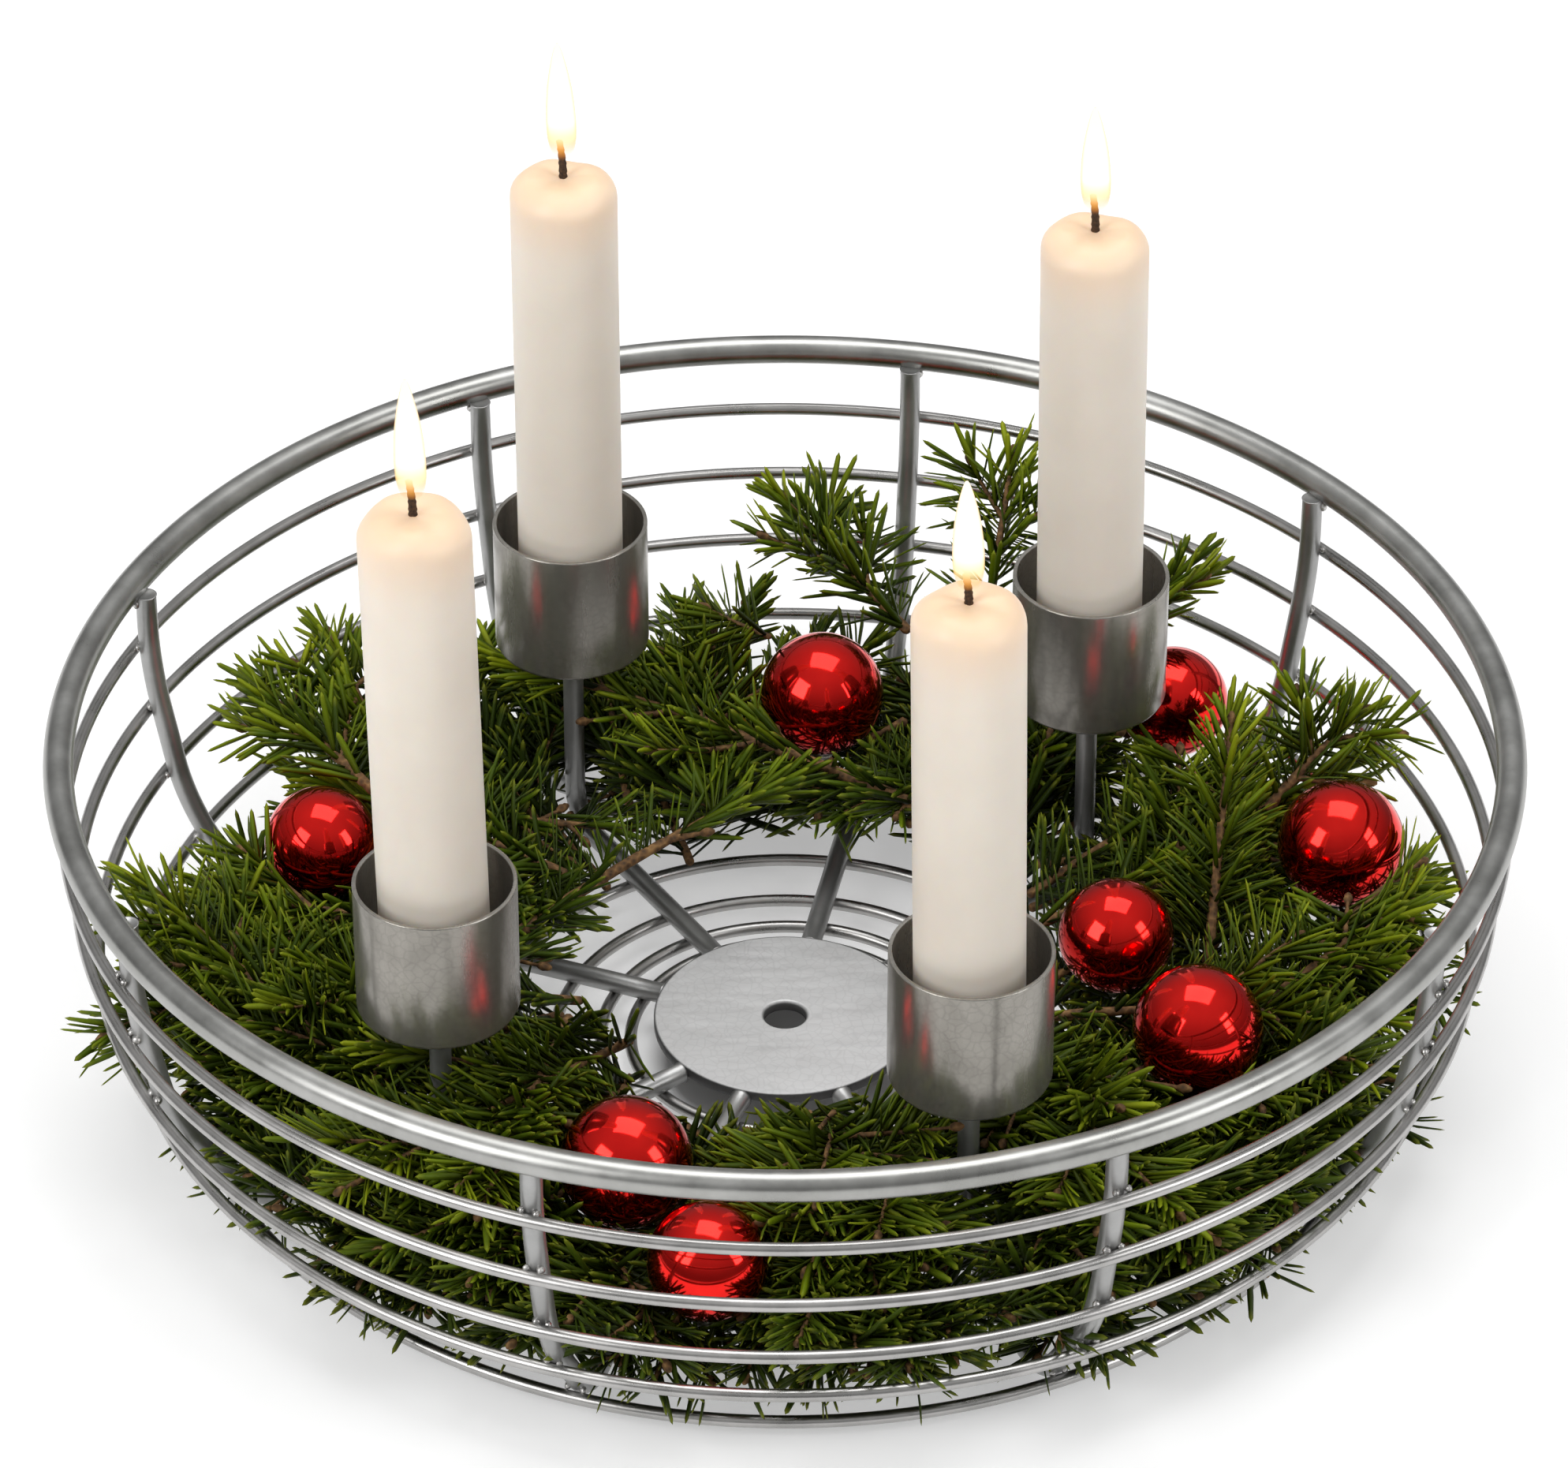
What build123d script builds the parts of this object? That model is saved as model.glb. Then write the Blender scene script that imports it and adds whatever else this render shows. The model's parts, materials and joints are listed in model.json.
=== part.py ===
"""Advent candle holder: a welded wire bowl with four candle cups, candles, fir sprigs and baubles.

Millimetres, +Z up. The origin is on the table under the middle of the bowl. The camera of the photo
looks along +Y, so "front" is -Y and azimuths are counted from +X towards +Y, seen from above.
"""
import os
from math import atan2, cos, degrees, radians, sin, sqrt, tan

from build123d import *

os.makedirs("parts", exist_ok=True)

# Bowl sizes
rim_outer_diameter = 340.0
rim_tube_diameter = 7.0
bowl_height = 96.5
rib_diameter = 5.0
hoop_diameter = 3.0
weld_gap = 0.05
rib_cope_height = 1.5

# Shape of one rib, from the rim down to the foot bend and in to the disc
wall_break_share = 0.774
toe_break_share = 0.35
wall_lean = 11.3
foot_rise = 25.0
wall_bend = 120.0
toe_bend = 60.0
foot_bend = 14.0
spoke_bend = 20.0
spoke_run = 9.2
lowest_hoop_height = 6.0
hoop_count = 5

# Bottom of the bowl
disc_diameter = 62.0
disc_thickness = 2.5
disc_hole_diameter = 10.0
disc_hole_chamfer = 0.6
disc_top_height = 12.25
bottom_ring_shares = (0.081, 0.182, 0.339, 0.577)

# Candle cups on their stems
candle_circle_inset = 69.5
stem_bend = 9.0
cup_outer_diameter = 37.0
cup_wall = 1.0
cup_floor = 1.2
cup_height = 33.8
spike_base_diameter = 3.6
spike_tip_diameter = 0.8
spike_height = 16.0

# Candles
candle_diameter = 25.0
candle_shoulder = 7.0
candle_seat_gap = 0.05
spike_clearance = 0.3
wick_diameter = 1.8
wick_sunk = 6.0
wick_clearance = 0.1
flame_diameter = 8.6
flame_start = 2.4
flame_clearance = 0.3
flame_tip_radius = 0.25

# Baubles and fir sprigs
large_bauble_diameter = 30.0
small_bauble_diameter = 27.0
bauble_wall = 1.0
bauble_neck_diameter = 5.0
cap_diameter = 8.0
cap_drop = 2.6
bauble_seat_gap = 0.3
bough_height = 32.0
bough_edge_height = 7.0
bough_gap = 1.2
tip_base_radius = 8.5
tip_end_radius = 5.0

# Azimuths of the hand-welded ribs: the long ones reach the disc, the short ones end under a stem
long_ribs = {"rib_back": 79.0, "rib_left_back": 158.5, "rib_front_left": 250.5, "rib_right": 332.5}
short_ribs = {"rib_right_back": 38.5, "rib_back_left": 117.5, "rib_left": 206.0, "rib_front_right": 296.0}

# Each candle place: azimuth, how far off the candle circle, wax length, free wick, flame height above the wax
candle_places = {
    "back_right": (40.0, -2.6, 127.0, 9.0, 32.0),
    "back_left": (121.6, 1.0, 128.5, 9.2, 35.0),
    "front_left": (218.4, 2.6, 129.0, 8.3, 33.5),
    "front_right": (295.1, -0.2, 125.5, 6.8, 30.0),
}

# Each bauble: share of the rim radius, azimuth, height of its middle, size
bauble_places = {
    "bauble_back": (0.535, 84.2, 43.0, large_bauble_diameter),
    "bauble_right_back": (0.795, 44.3, 38.0, small_bauble_diameter),
    "bauble_right": (0.795, 8.5, 48.0, large_bauble_diameter),
    "bauble_right_inner": (0.468, 350.5, 45.0, small_bauble_diameter),
    "bauble_front_right": (0.640, 332.0, 46.0, large_bauble_diameter),
    "bauble_left": (0.675, 167.0, 44.0, small_bauble_diameter),
    "bauble_front_left": (0.595, 249.0, 41.0, large_bauble_diameter),
    "bauble_front": (0.755, 262.2, 38.5, small_bauble_diameter),
}

# Fir boughs: how many lie between one stem and the next, in the order of the candle places
boughs_between_stems = (2, 3, 2, 3)
bough_names = (
    "fir_bough_back_right",
    "fir_bough_back",
    "fir_bough_back_left",
    "fir_bough_left_back",
    "fir_bough_left",
    "fir_bough_front_left",
    "fir_bough_front",
    "fir_bough_front_right",
    "fir_bough_right",
    "fir_bough_right_back",
)
# Each bough: share of the height, gap between the disc and its inner edge, then its highest tip:
# share of its span, share of the rim radius, height
bough_forms = (
    (1.00, 37.0, 0.72, 0.885, 80.0),
    (0.95, 37.0, 0.24, 0.885, 62.0),
    (1.00, 35.0, 0.80, 0.865, 64.0),
    (1.00, 24.0, 0.75, 0.885, 54.0),
    (0.95, 21.0, 0.35, 0.885, 52.0),
    (0.90, 18.0, 0.40, 0.880, 50.0),
    (0.80, 12.0, 0.62, 0.870, 46.0),
    (0.90, 18.0, 0.60, 0.880, 54.0),
    (0.95, 21.0, 0.78, 0.890, 60.0),
    (1.00, 30.0, 0.50, 0.890, 66.0),
)

# Values that follow from the sizes above
rim_tube_radius = rim_tube_diameter / 2
rim_radius = rim_outer_diameter / 2 - rim_tube_radius
rim_height = bowl_height - rim_tube_radius
candle_circle_radius = rim_radius - candle_circle_inset
hoop_pitch = (rim_height - lowest_hoop_height) / hoop_count
rib_radius = rib_diameter / 2
hoop_radius = hoop_diameter / 2
rod_pitch = rib_radius + hoop_radius + weld_gap
disc_radius = disc_diameter / 2
spoke_height = disc_top_height - rib_radius
spoke_start = disc_radius + weld_gap
cup_radius = cup_outer_diameter / 2
cup_top = bowl_height
cup_bottom = cup_top - cup_height
cup_inside_floor = cup_bottom + cup_floor
candle_bottom = cup_inside_floor + candle_seat_gap
candle_radius = candle_diameter / 2
wick_radius = wick_diameter / 2
flame_radius = flame_diameter / 2


def radial_plane(azimuth):
    """Upright plane through the bowl's axis: its x runs outward, its y runs up."""
    a = radians(azimuth)
    return Plane(origin=(0, 0, 0), x_dir=(cos(a), sin(a), 0), z_dir=(sin(a), -cos(a), 0))


def around(radius, azimuth, height):
    """Point at a radius and azimuth about the bowl's axis."""
    a = radians(azimuth)
    return Vector(radius * cos(a), radius * sin(a), height)


def save(part, name):
    """Label one sub-part and write its file."""
    part.label = name
    export_step(part, "parts/" + name + ".step")


# Corner points of the rib line before its bends, as radius and height. The inner run is long enough for
# a short rib to end by a stem, and the lower wall leans as it must to reach the foot bend.
rib_top_radius = rim_radius - rod_pitch
wall_break = (rib_top_radius, rim_height * wall_break_share)
toe_height = rim_height * toe_break_share
toe_break = (rib_top_radius - tan(radians(wall_lean)) * (wall_break[1] - toe_height), toe_height)
stem_bend_reach = stem_bend + rib_radius + 6 * weld_gap
short_rib_end = candle_circle_radius - stem_bend + sqrt(stem_bend_reach**2 - (stem_bend - rib_radius) ** 2)
spoke_corner = (short_rib_end + spoke_run, spoke_height)
toe_lean = wall_lean
for _ in range(40):
    foot_turn = 90 - toe_lean + foot_rise
    foot_height = (
        rib_radius
        + foot_bend * (1 - sin(radians(toe_lean)))
        - foot_bend * cos(radians(toe_lean)) * tan(radians(foot_turn / 2))
    )
    foot_corner = (spoke_corner[0] + (spoke_height - foot_height) / tan(radians(foot_rise)), foot_height)
    toe_lean = degrees(atan2(toe_break[0] - foot_corner[0], toe_height - foot_height))

rib_corners = ((rib_top_radius, rim_height - rib_cope_height), wall_break, toe_break, foot_corner, spoke_corner)
rib_bends = (wall_bend, toe_bend, foot_bend, spoke_bend)

# Rim: one thick round tube that closes the bowl at the top
with BuildPart() as rim_ring:
    with Locations((0, 0, rim_height)):
        Torus(rim_radius, rim_tube_radius)
save(rim_ring.part, "rim_ring")

# Ribs: bent rods from the rim down the wall, round the foot bend and in over the bottom rings
rib_ends = {name: (azimuth, spoke_start) for name, azimuth in long_ribs.items()}
rib_ends.update({name: (azimuth, short_rib_end) for name, azimuth in short_ribs.items()})
for rib_name, (rib_azimuth, rib_end) in rib_ends.items():
    with BuildPart() as rib:
        with BuildLine(radial_plane(rib_azimuth)) as rib_line:
            FilletPolyline(*rib_corners, (rib_end, spoke_height), radius=rib_bends)
        with BuildSketch(Plane(origin=rib_line.line @ 0, z_dir=rib_line.line % 0)):
            Circle(rib_radius)
        sweep()
        with Locations((0, 0, rim_height)):
            Torus(rim_radius, rim_tube_radius + weld_gap, mode=Mode.SUBTRACT)
    save(rib.part, rib_name)

# Wall hoops: thin rings on the outside of the ribs, tangent to the rib line at even heights
with BuildLine() as rib_profile:
    FilletPolyline(*rib_corners, (spoke_start, spoke_height), radius=rib_bends)
for hoop_index in range(1, hoop_count + 1):
    hoop_height = rim_height - hoop_index * hoop_pitch
    outer = rim_radius + 2 * rod_pitch
    inner = outer
    while rib_profile.line.distance_to(Vector(inner, hoop_height)) > rod_pitch:
        outer = inner
        inner = inner - rib_radius
    for _ in range(30):
        middle = (inner + outer) / 2
        if rib_profile.line.distance_to(Vector(middle, hoop_height)) < rod_pitch:
            inner = middle
        else:
            outer = middle
    with BuildPart() as wall_hoop:
        with Locations((0, 0, hoop_height)):
            Torus(outer, hoop_radius)
    save(wall_hoop.part, "wall_hoop_" + str(hoop_index))

# Bottom rings: thin rings under the flat inner runs of the ribs and stems. The outermost carries the short
# ribs' ends, and the others share out the way from the disc to it.
outermost_ring = short_rib_end + rib_radius
ring_radii = [disc_radius + (outermost_ring - disc_radius) * share for share in bottom_ring_shares]
ring_radii.append(outermost_ring)
for ring_index, ring_radius in enumerate(ring_radii, start=1):
    with BuildPart() as bottom_ring:
        with Locations((0, 0, spoke_height - rod_pitch)):
            Torus(ring_radius, hoop_radius)
    save(bottom_ring.part, "bottom_ring_" + str(ring_index))

# Centre disc: flat plate with a chamfered hole, the long ribs and the stems end on its edge
with BuildPart() as centre_disc:
    with Locations((0, 0, disc_top_height)):
        Cylinder(disc_radius, disc_thickness, align=(Align.CENTER, Align.CENTER, Align.MAX))
    with Locations((0, 0, disc_top_height)):
        CounterSinkHole(disc_hole_diameter / 2, disc_hole_diameter / 2 + disc_hole_chamfer)
save(centre_disc.part, "centre_disc")

# Candle stems: a rod that leaves the disc edge, bends up and carries one cup
for place, (azimuth, offset, _, _, _) in candle_places.items():
    stem_radius = candle_circle_radius + offset
    with BuildPart() as stem:
        with BuildLine(radial_plane(azimuth)) as stem_line:
            FilletPolyline(
                (spoke_start, spoke_height),
                (stem_radius, spoke_height),
                (stem_radius, cup_bottom - weld_gap),
                radius=stem_bend,
            )
        with BuildSketch(Plane(origin=stem_line.line @ 0, z_dir=stem_line.line % 0)):
            Circle(rib_radius)
        sweep()
    save(stem.part, "stem_" + place)

# Candle cups: drawn sheet cups, open at the top and level with the rim
for place, (azimuth, offset, _, _, _) in candle_places.items():
    cup_place = candle_circle_radius + offset
    with BuildPart() as cup:
        with Locations(around(cup_place, azimuth, cup_bottom)):
            Cylinder(cup_radius, cup_height, align=(Align.CENTER, Align.CENTER, Align.MIN))
        fillet(cup.edges().sort_by(Axis.Z)[0], cup_floor)
        with Locations(around(cup_place, azimuth, cup_inside_floor)):
            Cylinder(
                cup_radius - cup_wall,
                cup_height,
                align=(Align.CENTER, Align.CENTER, Align.MIN),
                mode=Mode.SUBTRACT,
            )
    save(cup.part, "cup_" + place)

# Spikes: one upright point on each cup floor, the candle is pressed onto it
spike_spots = [around(candle_circle_radius + p[1], p[0], cup_inside_floor) for p in candle_places.values()]
with BuildPart() as candle_spikes:
    with Locations(*spike_spots):
        Cone(
            spike_base_diameter / 2,
            spike_tip_diameter / 2,
            spike_height,
            align=(Align.CENTER, Align.CENTER, Align.MIN),
        )
save(candle_spikes.part, "candle_spikes")

# Candles, wicks and flames, one set for each cup
for place, (azimuth, offset, wax, free_wick, flame_height) in candle_places.items():
    candle_place = candle_circle_radius + offset
    wax_top = candle_bottom + wax
    with BuildPart() as candle:
        with Locations(around(candle_place, azimuth, candle_bottom)):
            Cylinder(candle_radius, wax, align=(Align.CENTER, Align.CENTER, Align.MIN))
        fillet(candle.edges().sort_by(Axis.Z)[-1], candle_shoulder)
        with Locations(around(candle_place, azimuth, candle_bottom)):
            Cone(
                spike_base_diameter / 2 + spike_clearance,
                spike_tip_diameter / 2 + spike_clearance,
                spike_height + spike_clearance,
                align=(Align.CENTER, Align.CENTER, Align.MIN),
                mode=Mode.SUBTRACT,
            )
        with Locations(around(candle_place, azimuth, wax_top)):
            Cylinder(
                wick_radius + wick_clearance,
                wick_sunk + wick_clearance,
                align=(Align.CENTER, Align.CENTER, Align.MAX),
                mode=Mode.SUBTRACT,
            )
    save(candle.part, "candle_" + place)

    with BuildPart() as wick:
        with Locations(around(candle_place, azimuth, wax_top - wick_sunk)):
            Cylinder(wick_radius, wick_sunk + free_wick, align=(Align.CENTER, Align.CENTER, Align.MIN))
        fillet(wick.edges().sort_by(Axis.Z)[-1], wick_radius * 0.6)
    save(wick.part, "wick_" + place)

    with BuildPart() as flame:
        flame_bottom = wax_top + flame_start
        flame_top = wax_top + flame_height
        flame_length = flame_height - flame_start
        pocket_radius = candle_place + wick_radius + flame_clearance
        pocket_top = wax_top + free_wick + flame_clearance
        with BuildSketch(radial_plane(azimuth)):
            with BuildLine():
                outline = Bezier(
                    (pocket_radius, flame_bottom),
                    (candle_place + flame_radius * 1.35, flame_bottom + flame_length * 0.02),
                    (candle_place + flame_radius * 1.45, flame_bottom + flame_length * 0.42),
                    (candle_place + flame_radius * 0.25, flame_bottom + flame_length * 0.72),
                    (candle_place + flame_tip_radius, flame_top),
                )
                Polyline(
                    outline @ 1,
                    (candle_place, flame_top),
                    (candle_place, pocket_top),
                    (pocket_radius, pocket_top),
                    outline @ 0,
                )
            make_face()
        revolve(axis=Axis(around(candle_place, azimuth, 0), (0, 0, 1)), revolution_arc=360)
    save(flame.part, "flame_" + place)

# Baubles: thin hollow balls with a neck hole underneath
for bauble_name, (share, azimuth, height, size) in bauble_places.items():
    centre = around(share * rim_radius, azimuth, height)
    with BuildPart() as bauble:
        with Locations(centre):
            Sphere(size / 2)
            Sphere(size / 2 - bauble_wall, mode=Mode.SUBTRACT)
            Cylinder(
                bauble_neck_diameter / 2,
                size,
                align=(Align.CENTER, Align.CENTER, Align.MAX),
                mode=Mode.SUBTRACT,
            )
    save(bauble.part, bauble_name)

# Bauble caps: pressed crowns that close the necks, hidden among the needles
with BuildPart() as bauble_caps:
    for share, azimuth, height, size in bauble_places.values():
        with Locations(around(share * rim_radius, azimuth, height - size / 2 - cap_drop)):
            Cylinder(cap_diameter / 2, size / 4, align=(Align.CENTER, Align.CENTER, Align.MIN))
    for share, azimuth, height, size in bauble_places.values():
        with Locations(around(share * rim_radius, azimuth, height)):
            Sphere(size / 2 + weld_gap, mode=Mode.SUBTRACT)
save(bauble_caps.part, "bauble_caps")

# Fir boughs: the outer form of the needled twigs, laid on the rods round the disc from stem to stem
bough_floor = disc_top_height + weld_gap


def bough_reach(height):
    """Radius at which a bough stops inside the leaning lower wall."""
    wall = toe_break[0] - tan(radians(toe_lean)) * (toe_height - height)
    return wall - (rib_radius + bough_gap) / cos(radians(toe_lean))


stem_azimuths = [p[0] for p in candle_places.values()]
stem_spots = [(p[0], candle_circle_radius + p[1]) for p in candle_places.values()]
bough_spans = []
for index, count in enumerate(boughs_between_stems):
    span_start = stem_azimuths[index]
    span_end = stem_azimuths[(index + 1) % len(stem_azimuths)]
    step = ((span_end - span_start) % 360) / count
    bough_spans.extend((span_start + step * k, step) for k in range(count))

for bough_name, (span_start, span), form in zip(bough_names, bough_spans, bough_forms):
    crown = bough_height * form[0]
    inner_radius = disc_radius + form[1]
    outer_height = bough_floor + crown / 2
    crown_radius = (inner_radius + bough_reach(outer_height)) / 2
    trim = degrees(bough_gap / crown_radius)
    tip_azimuth = span_start + span * form[2]
    tip_point = around(form[3] * rim_radius - tip_end_radius, tip_azimuth, form[4])
    tip_start = around(crown_radius, tip_azimuth, bough_floor + crown / 2)
    tip_plane = Plane(origin=tip_start, z_dir=tip_point - tip_start)
    with BuildPart() as bough:
        with BuildSketch(radial_plane(span_start + trim / 2)):
            with BuildLine():
                Polyline(
                    (inner_radius, bough_floor + bough_edge_height),
                    (inner_radius, bough_floor),
                    (bough_reach(bough_floor), bough_floor),
                    (bough_reach(outer_height), outer_height),
                )
                ThreePointArc(
                    (bough_reach(outer_height), outer_height),
                    (crown_radius, bough_floor + crown),
                    (inner_radius, bough_floor + bough_edge_height),
                )
            make_face()
        revolve(axis=Axis.Z, revolution_arc=span - trim)
        with BuildSketch(tip_plane):
            Circle(tip_base_radius)
        with BuildSketch(tip_plane.offset((tip_point - tip_start).length)):
            Circle(tip_end_radius)
        loft()
        with Locations(tip_point):
            Sphere(tip_end_radius)
        for stem_azimuth, stem_radius in stem_spots:
            with Locations(around(stem_radius, stem_azimuth, 0)):
                Cylinder(
                    rib_radius + bough_gap,
                    bowl_height,
                    align=(Align.CENTER, Align.CENTER, Align.MIN),
                    mode=Mode.SUBTRACT,
                )
            with BuildSketch(radial_plane(stem_azimuth)):
                with Locations((stem_radius, 0)):
                    Rectangle(2 * stem_bend, bough_floor + stem_bend, align=(Align.MAX, Align.MIN))
            extrude(amount=rib_radius + bough_gap, both=True, mode=Mode.SUBTRACT)
            with Locations(around(stem_radius, stem_azimuth, cup_bottom - bough_gap)):
                Cylinder(
                    cup_radius + bough_gap,
                    bowl_height,
                    align=(Align.CENTER, Align.CENTER, Align.MIN),
                    mode=Mode.SUBTRACT,
                )
        for share, azimuth, height, size in bauble_places.values():
            with Locations(around(share * rim_radius, azimuth, height)):
                Sphere(size / 2 + bauble_seat_gap, mode=Mode.SUBTRACT)
                Cylinder(
                    cap_diameter / 2 + bauble_seat_gap,
                    size / 2 + cap_drop + bauble_seat_gap,
                    align=(Align.CENTER, Align.CENTER, Align.MAX),
                    mode=Mode.SUBTRACT,
                )
    save(bough.part, bough_name)
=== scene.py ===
"""Advent candle holder: the dressed model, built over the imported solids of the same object."""
import json
from math import acos, asin, atan2, cos, degrees, exp, hypot, pi, radians, sin, sqrt, tan

import bpy
import numpy as np
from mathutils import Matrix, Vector
from numpy.linalg import norm

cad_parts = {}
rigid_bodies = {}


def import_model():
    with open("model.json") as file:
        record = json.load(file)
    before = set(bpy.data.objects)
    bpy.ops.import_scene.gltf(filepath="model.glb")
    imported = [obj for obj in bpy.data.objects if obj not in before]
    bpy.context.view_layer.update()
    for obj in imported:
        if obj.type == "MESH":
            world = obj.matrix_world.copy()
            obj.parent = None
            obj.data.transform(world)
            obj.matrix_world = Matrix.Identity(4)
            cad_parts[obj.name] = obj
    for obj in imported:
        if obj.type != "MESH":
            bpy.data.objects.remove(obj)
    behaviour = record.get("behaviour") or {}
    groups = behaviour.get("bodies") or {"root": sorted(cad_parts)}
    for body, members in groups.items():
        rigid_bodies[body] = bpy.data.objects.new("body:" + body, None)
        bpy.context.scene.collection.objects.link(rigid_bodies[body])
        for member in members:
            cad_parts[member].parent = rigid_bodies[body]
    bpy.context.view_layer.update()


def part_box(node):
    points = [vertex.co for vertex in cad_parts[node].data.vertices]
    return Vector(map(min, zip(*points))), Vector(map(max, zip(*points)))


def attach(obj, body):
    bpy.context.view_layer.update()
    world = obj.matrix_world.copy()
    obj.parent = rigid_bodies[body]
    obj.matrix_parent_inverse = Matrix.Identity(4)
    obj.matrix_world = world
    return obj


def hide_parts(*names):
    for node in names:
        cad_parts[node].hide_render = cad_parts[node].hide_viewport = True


for leftover in list(bpy.data.objects):
    bpy.data.objects.remove(leftover)
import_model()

# Rim ring
# The thick round rod that closes the bowl at the top, rolled into a ring and butt welded.
# Plain steel with a satin skin: cloudy gloss, fine drawing lines and small pits.
rim_low, rim_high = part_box("rim_ring")
rim_tube = (rim_high.z - rim_low.z) / 2
rim_outside = 0.170
rim_radius = rim_outside - rim_tube
rim_height = (rim_high.z + rim_low.z) / 2


scene = bpy.context.scene


def mesh_piece(name, shape, finish, node=None, body="bowl", shades=None):
    """One shown piece: points and faces, finish, the CAD body it rides on and the node it stands for."""
    points, faces = shape
    mesh = bpy.data.meshes.new(name)
    mesh.from_pydata([tuple(point) for point in points], [], faces)
    mesh.polygons.foreach_set("use_smooth", [True] * len(mesh.polygons))
    for shade_name, values in (shades or {}).items():
        layer = mesh.attributes.new(shade_name, "FLOAT", "POINT")
        layer.data.foreach_set("value", np.asarray(values, dtype=np.float32))
    mesh.update()
    mesh.materials.append(finish)
    piece = bpy.data.objects.new(name, mesh)
    scene.collection.objects.link(piece)
    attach(piece, body)
    if node:
        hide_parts(node)


def ring_mesh(radius, tube, height, turns, sides, wobble=0.0, phase=0.0):
    """Points and faces of a rolled ring; wobble is how far hand rolling leaves it out of true."""
    points = []
    faces = []
    for i in range(turns):
        a = 2 * pi * i / turns
        lift = wobble * sin(3 * a + phase)
        swell = wobble * sin(2 * a + 2.1 * phase)
        for j in range(sides):
            b = 2 * pi * j / sides
            r = radius + swell + tube * cos(b)
            points.append((r * cos(a), r * sin(a), height + lift + tube * sin(b)))
            i2 = (i + 1) % turns
            j2 = (j + 1) % sides
            faces.append((i * sides + j, i2 * sides + j, i2 * sides + j2, i * sides + j2))
    return points, faces


def give(target, value):
    """Set a node's input, or link it where the value is the output of another node."""
    if isinstance(value, bpy.types.NodeSocket):
        target.id_data.links.new(value, target)
    else:
        target.default_value = value


def feed(node, **settings):
    """Set a node's properties and inputs by their names."""
    for key, value in settings.items():
        if hasattr(node, key):
            setattr(node, key, value)
        else:
            give(node.inputs[key.replace("_", " ")], value)
    return node


def put(tree, kind, **settings):
    """One new shader node with its settings."""
    return feed(tree.nodes.new("ShaderNode" + kind), **settings)


def noise(tree, where, scale, detail, roughness=0.5):
    """Cloudy value over a place."""
    node = put(tree, "TexNoise", Vector=where, Scale=scale, Detail=detail, Roughness=roughness)
    return node.outputs["Fac"]


def span(tree, value, old, new=(0.0, 1.0)):
    """A value brought from its old range to a new one."""
    ends = {"From_Min": old[0], "From_Max": old[1], "To_Min": new[0], "To_Max": new[1]}
    return put(tree, "MapRange", Value=value, **ends).outputs["Result"]


def maths(tree, operation, *values):
    """Result of one sum on values or sockets."""
    node = put(tree, "Math", operation=operation)
    for target, value in zip(node.inputs, values):
        give(target, value)
    return node.outputs[0]


def blend(tree, share, first, second, way="MIX"):
    """Colour between a first and a second one."""
    node = put(tree, "Mix", data_type="RGBA", blend_type=way)
    for target, value in ((0, share), (6, first), (7, second)):
        give(node.inputs[target], value)
    return node.outputs[2]


def new_finish(name):
    """Empty node material with its shader and the object's own coordinates."""
    finish = bpy.data.materials.new(name)
    finish.use_nodes = True
    tree = finish.node_tree
    shader = next(n for n in tree.nodes if n.type == "BSDF_PRINCIPLED")
    return finish, tree, shader, put(tree, "TexCoord").outputs["Object"]


def ramp(tree, source, stops):
    """Colour ramp over a value: stops are (position, colour)."""
    made = put(tree, "ValToRGB")
    band = made.color_ramp
    while len(band.elements) < len(stops):
        band.elements.new(0.5)
    for element, (position, colour) in zip(band.elements, stops):
        element.position = position
        element.color = (*colour, 1.0)
    give(made.inputs[0], source)
    return made.outputs["Color"]


# Cloudy gloss, drawing lines and pits of bare steel, for every steel piece
worn_steel = bpy.data.node_groups.new("worn_steel", "ShaderNodeTree")
taken = {"Place": "Vector", "Light Steel": "Color", "Dark Steel": "Color"}
taken.update({"Smooth": "Float", "Rough": "Float"})
for name, kind in taken.items():
    worn_steel.interface.new_socket(name, in_out="INPUT", socket_type="NodeSocket" + kind)
for name, kind in {"Colour": "Color", "Gloss": "Float", "Relief": "Float"}.items():
    worn_steel.interface.new_socket(name, in_out="OUTPUT", socket_type="NodeSocket" + kind)
given = worn_steel.nodes.new("NodeGroupInput").outputs
cloud = noise(worn_steel, given["Place"], scale=70.0, detail=5.0, roughness=0.6)
grain = noise(worn_steel, given["Place"], scale=1500.0, detail=3.0, roughness=0.65)
grain_share = 0.15
tone = blend(worn_steel, span(worn_steel, cloud, (0.32, 0.68)), given["Dark Steel"], given["Light Steel"])
mixed = maths(worn_steel, "MULTIPLY_ADD", grain, grain_share, cloud)
gloss = span(worn_steel, mixed, (0.40, 0.75), (given["Smooth"], given["Rough"]))
feed(worn_steel.nodes.new("NodeGroupOutput"), Colour=tone, Gloss=gloss, Relief=grain)


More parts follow.
